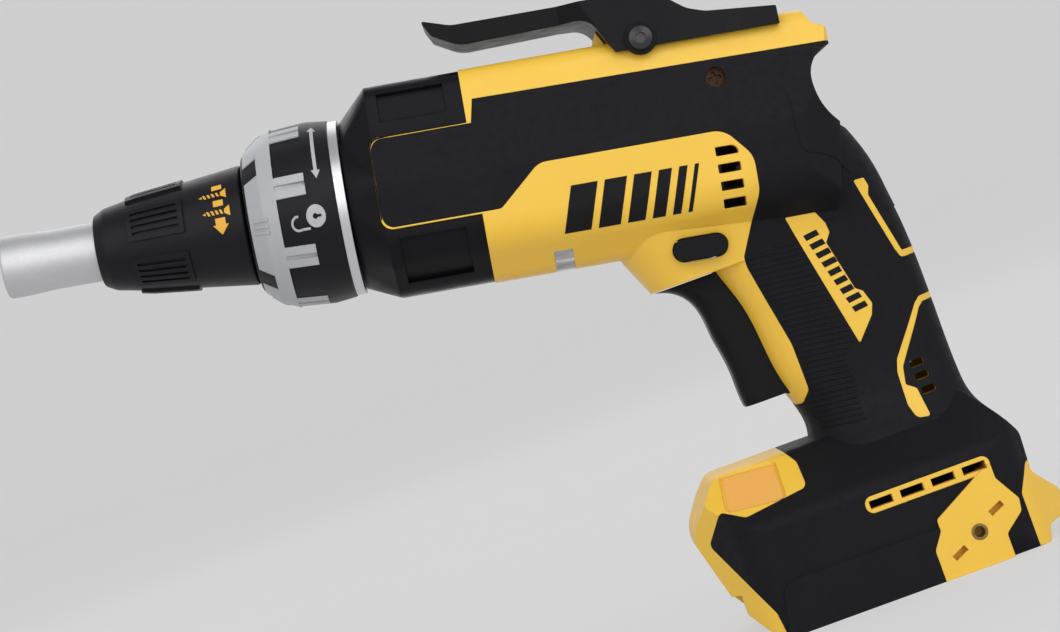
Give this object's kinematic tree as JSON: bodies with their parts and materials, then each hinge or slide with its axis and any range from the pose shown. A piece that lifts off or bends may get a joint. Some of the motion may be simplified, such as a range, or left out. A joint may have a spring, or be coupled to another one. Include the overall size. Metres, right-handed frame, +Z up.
{
  "type": "cordless drywall screwdriver",
  "caption": "Pistol-grip cordless drywall screwdriver without battery: yellow and black clamshell, depth collar, lock ring, steel nose, trigger and belt hook.",
  "frame": {"origin": "on the underside of the foot, in the middle plane, at the middle of the battery seat", "axes": "+X towards the nose, +Y to the left side of the tool, +Z up along the handle; the spindle axis rises 10 degrees towards the nose"},
  "size_m": [0.2847, 0.0784, 0.2138],
  "materials": {
    "yellow_shell": "satin moulded yellow",
    "soft_grip": "matt overmoulded black",
    "case_black": "die casting with semi-gloss black paint",
    "ring_black": "matt black",
    "silver_grip": "light grey soft overmould",
    "trim_silver": "satin band",
    "tube_steel": "satin",
    "steel": "turned",
    "dark_steel": "blackened",
    "seal_black": "matt",
    "magnet": "nickel plated",
    "lamination": "stacked sheet",
    "copper": "enamelled copper wire",
    "board_green": "solder mask",
    "black_plastic": "fine grain black",
    "fan_grey": "moulded grey",
    "lens_clear": "clear",
    "insert_brass": "turned",
    "terminal_metal": "tinned"
  },
  "bodies": {
    "housing": {"housing_left": "yellow_shell", "housing_right": "yellow_shell", "grip_left": "soft_grip", "grip_right": "soft_grip", "gear_case": "case_black", "collar_clip": "steel", "spindle_bearing": "steel", "spindle_seal": "seal_black", "thrust_washer": "steel", "bearing_plate": "trim_silver", "stator_core": "lamination", "stator_coils": "copper", "sensor_board": "board_green", "motor_front_bearing": "steel", "motor_rear_bearing": "steel", "trigger_spring": "steel", "switch_module": "black_plastic", "belt_hook": "black_plastic", "belt_hook_screws": "dark_steel", "led_lens": "lens_clear", "led_board": "board_green", "housing_screws": "dark_steel", "hook_inserts": "insert_brass", "control_module": "black_plastic", "terminal_block": "black_plastic", "terminal_blades": "terminal_metal"},
    "rotor": {"rotor_shaft": "steel", "rotor_core": "lamination", "rotor_magnets": "magnet", "fan": "fan_grey"},
    "drive_gear": {"drive_gear": "steel", "clutch_spring": "steel"},
    "spindle": {"spindle": "steel", "bit_holder": "steel", "holder_magnet": "magnet", "screw_bit": "steel"},
    "lock_ring": {"lock_ring": "ring_black", "lock_ring_grip": "silver_grip", "lock_ring_trim": "trim_silver"},
    "depth_collar": {"depth_collar": "ring_black"},
    "nose_tube": {"nose_tube": "tube_steel"},
    "trigger": {"trigger": "black_plastic"},
    "direction_button": {"direction_button": "black_plastic"}
  },
  "joints": [
    {"name": "rotor_spin", "type": "hinge", "parent": "housing", "child": "rotor", "pos_m": [0.12498, 0, 0.16063], "axis": [0.9848, 0, 0.1736], "continuous": true},
    {"name": "gear_spin", "type": "hinge", "parent": "housing", "child": "drive_gear", "pos_m": [0.1235, 0, 0.169], "axis": [0.9848, 0, 0.1736], "continuous": true},
    {"name": "spindle_push", "type": "slide", "parent": "drive_gear", "child": "spindle", "axis": [-0.9848, 0, -0.1736], "range_m": [0, 0.003], "stiffness_N_per_m": 1500, "springref_m": -0.002, "deforming": ["clutch_spring"]},
    {"name": "lock_turn", "type": "hinge", "parent": "housing", "child": "lock_ring", "pos_m": [0.1235, 0, 0.169], "axis": [0.9848, 0, 0.1736], "range_deg": [0, 35]},
    {"name": "depth_turn", "type": "hinge", "parent": "housing", "child": "depth_collar", "pos_m": [0.1235, 0, 0.169], "axis": [0.9848, 0, 0.1736], "range_deg": [-182, 182]},
    {"name": "nose_slide", "type": "slide", "parent": "housing", "child": "nose_tube", "axis": [0.9848, 0, 0.1736], "range_m": [-0.003, 0.003]},
    {"name": "trigger_pull", "type": "slide", "parent": "housing", "child": "trigger", "axis": [-1, 0, 0], "range_m": [0, 0.007], "stiffness_N_per_m": 600, "springref_m": -0.004, "deforming": ["trigger_spring"]},
    {"name": "direction_shift", "type": "slide", "parent": "housing", "child": "direction_button", "axis": [0, 1, 0], "range_m": [-0.0025, 0.0025]}
  ],
  "couplings": [
    {"joint": "gear_spin", "follows": "rotor_spin", "ratio": -0.36},
    {"joint": "depth_turn", "follows": "nose_slide", "rad_per_m": 1047.2}
  ]
}
